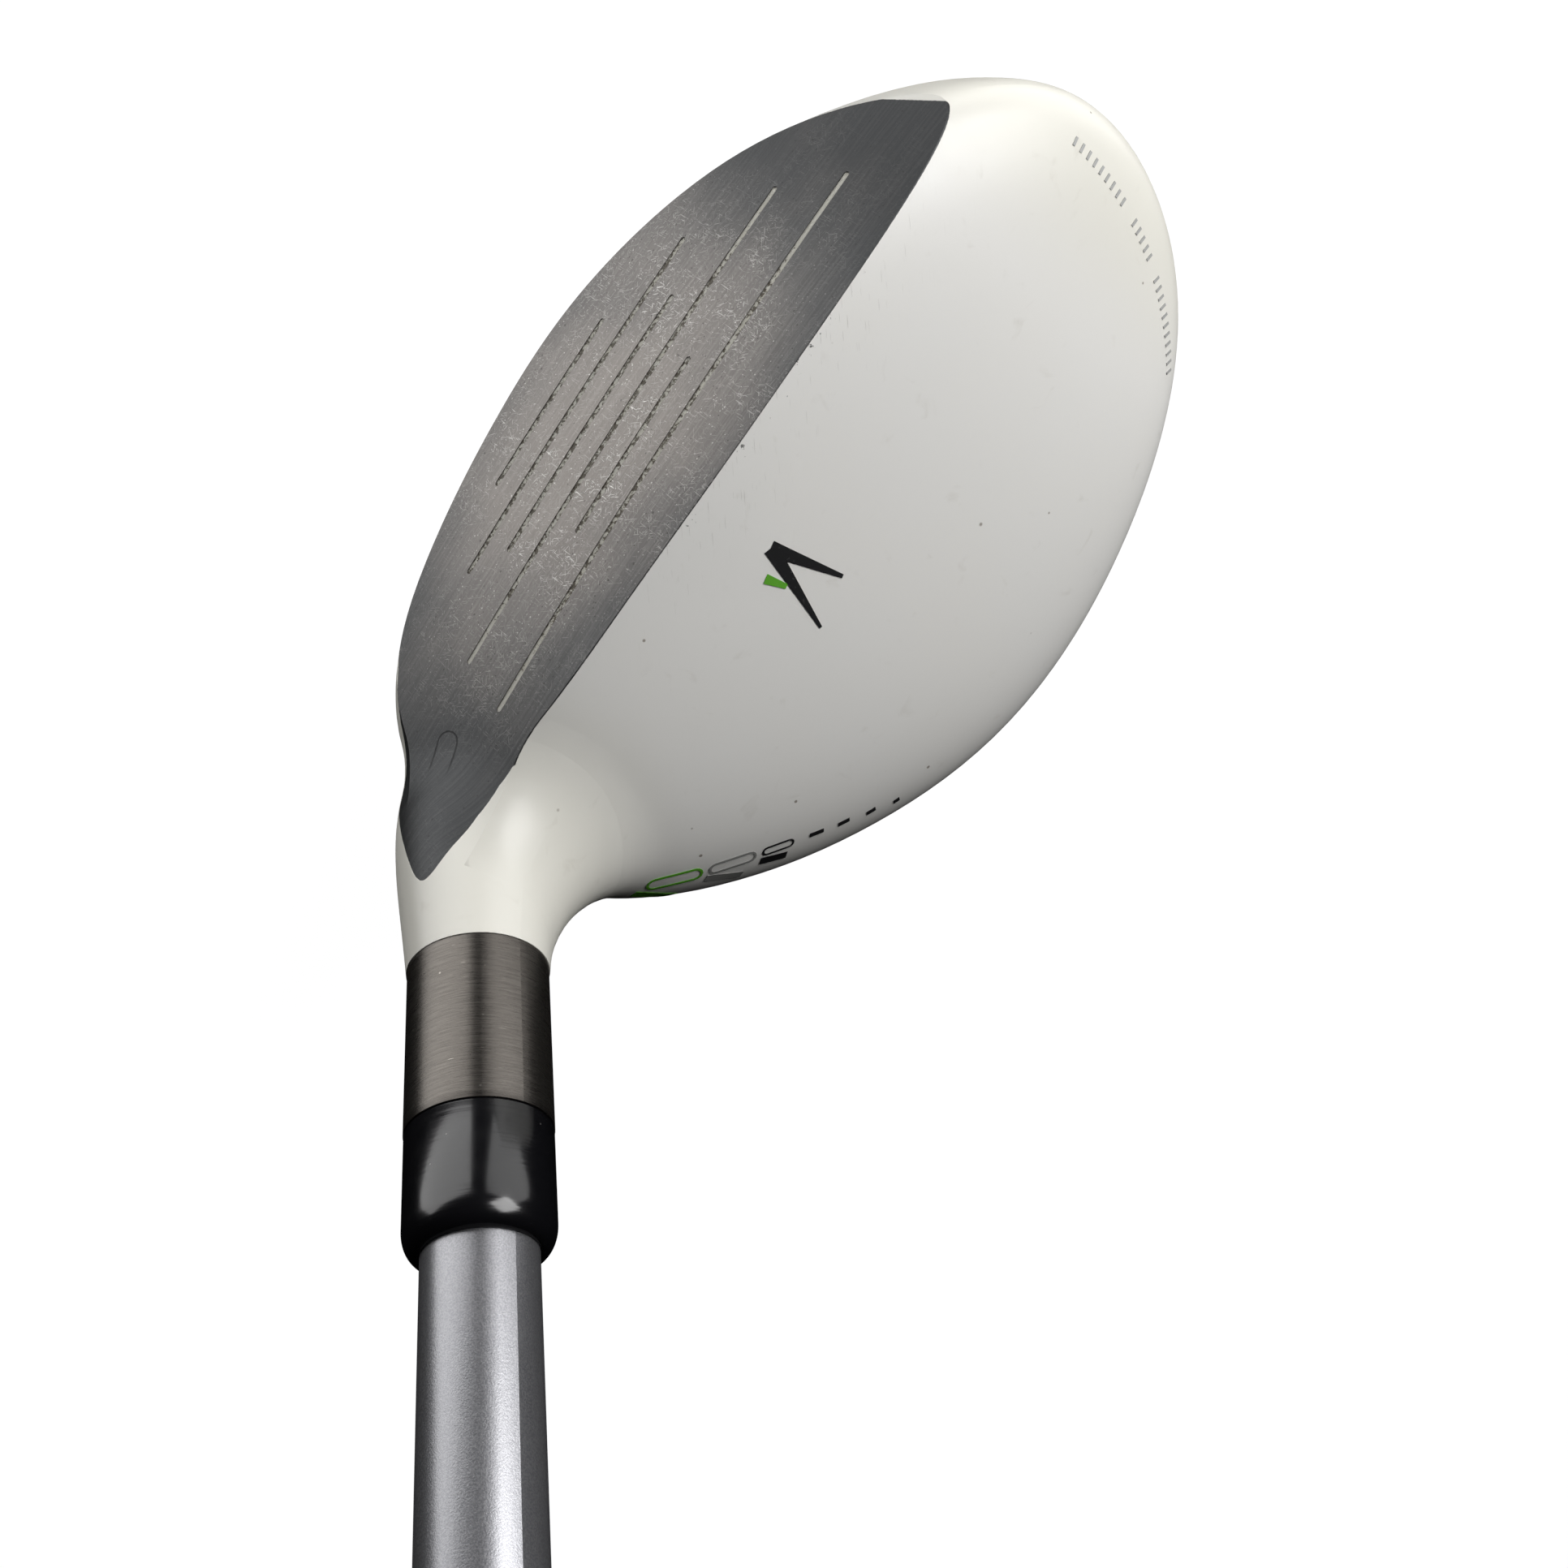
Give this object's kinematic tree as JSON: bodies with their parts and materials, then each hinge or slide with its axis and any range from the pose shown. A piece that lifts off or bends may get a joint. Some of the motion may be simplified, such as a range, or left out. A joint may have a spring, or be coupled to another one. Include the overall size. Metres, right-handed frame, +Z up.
{
  "type": "hybrid golf club",
  "caption": "Hybrid golf club: rounded white hollow head with a dark grooved face, bonded hosel and ferrule, tapered shaft and rubber grip.",
  "frame": {"origin": "the point where the shaft's axis meets the ground with the club at address, which is the point its length is measured to", "axes": "+Z up from the ground, +X from heel to toe, +Y towards the target; the shaft leans in the XZ plane towards -X"},
  "size_m": [0.6105, 0.0637, 0.8922],
  "materials": {
    "head_white": "satin",
    "face_gunmetal": "satin",
    "hosel_dark": "satin",
    "score_paint": "matte",
    "badge_dark": "satin",
    "screw_steel": "satin",
    "weight_alloy": "satin",
    "glue_amber": "gloss",
    "plug_cork": "matte",
    "epoxy": "gloss",
    "tip_brass": "satin",
    "ferrule_black": "gloss",
    "shaft_grey": "satin",
    "grip_tape": "matte",
    "grip_rubber": "matte"
  },
  "bodies": {
    "root": {"head_body": "head_white", "crown_shell": "head_white", "face_plate": "face_gunmetal", "score_line_paint": "score_paint", "sole_badge": "badge_dark", "weight_screw": "screw_steel", "rear_weight": "weight_alloy", "tuning_glue": "glue_amber", "hosel_tube": "hosel_dark", "hosel_plug": "plug_cork", "epoxy_bond": "epoxy", "tip_weight": "tip_brass", "tip_plug": "plug_cork", "ferrule": "ferrule_black", "shaft": "shaft_grey", "grip_tape": "grip_tape", "grip_sleeve": "grip_rubber", "grip_cap": "grip_rubber"}
  },
  "joints": []
}
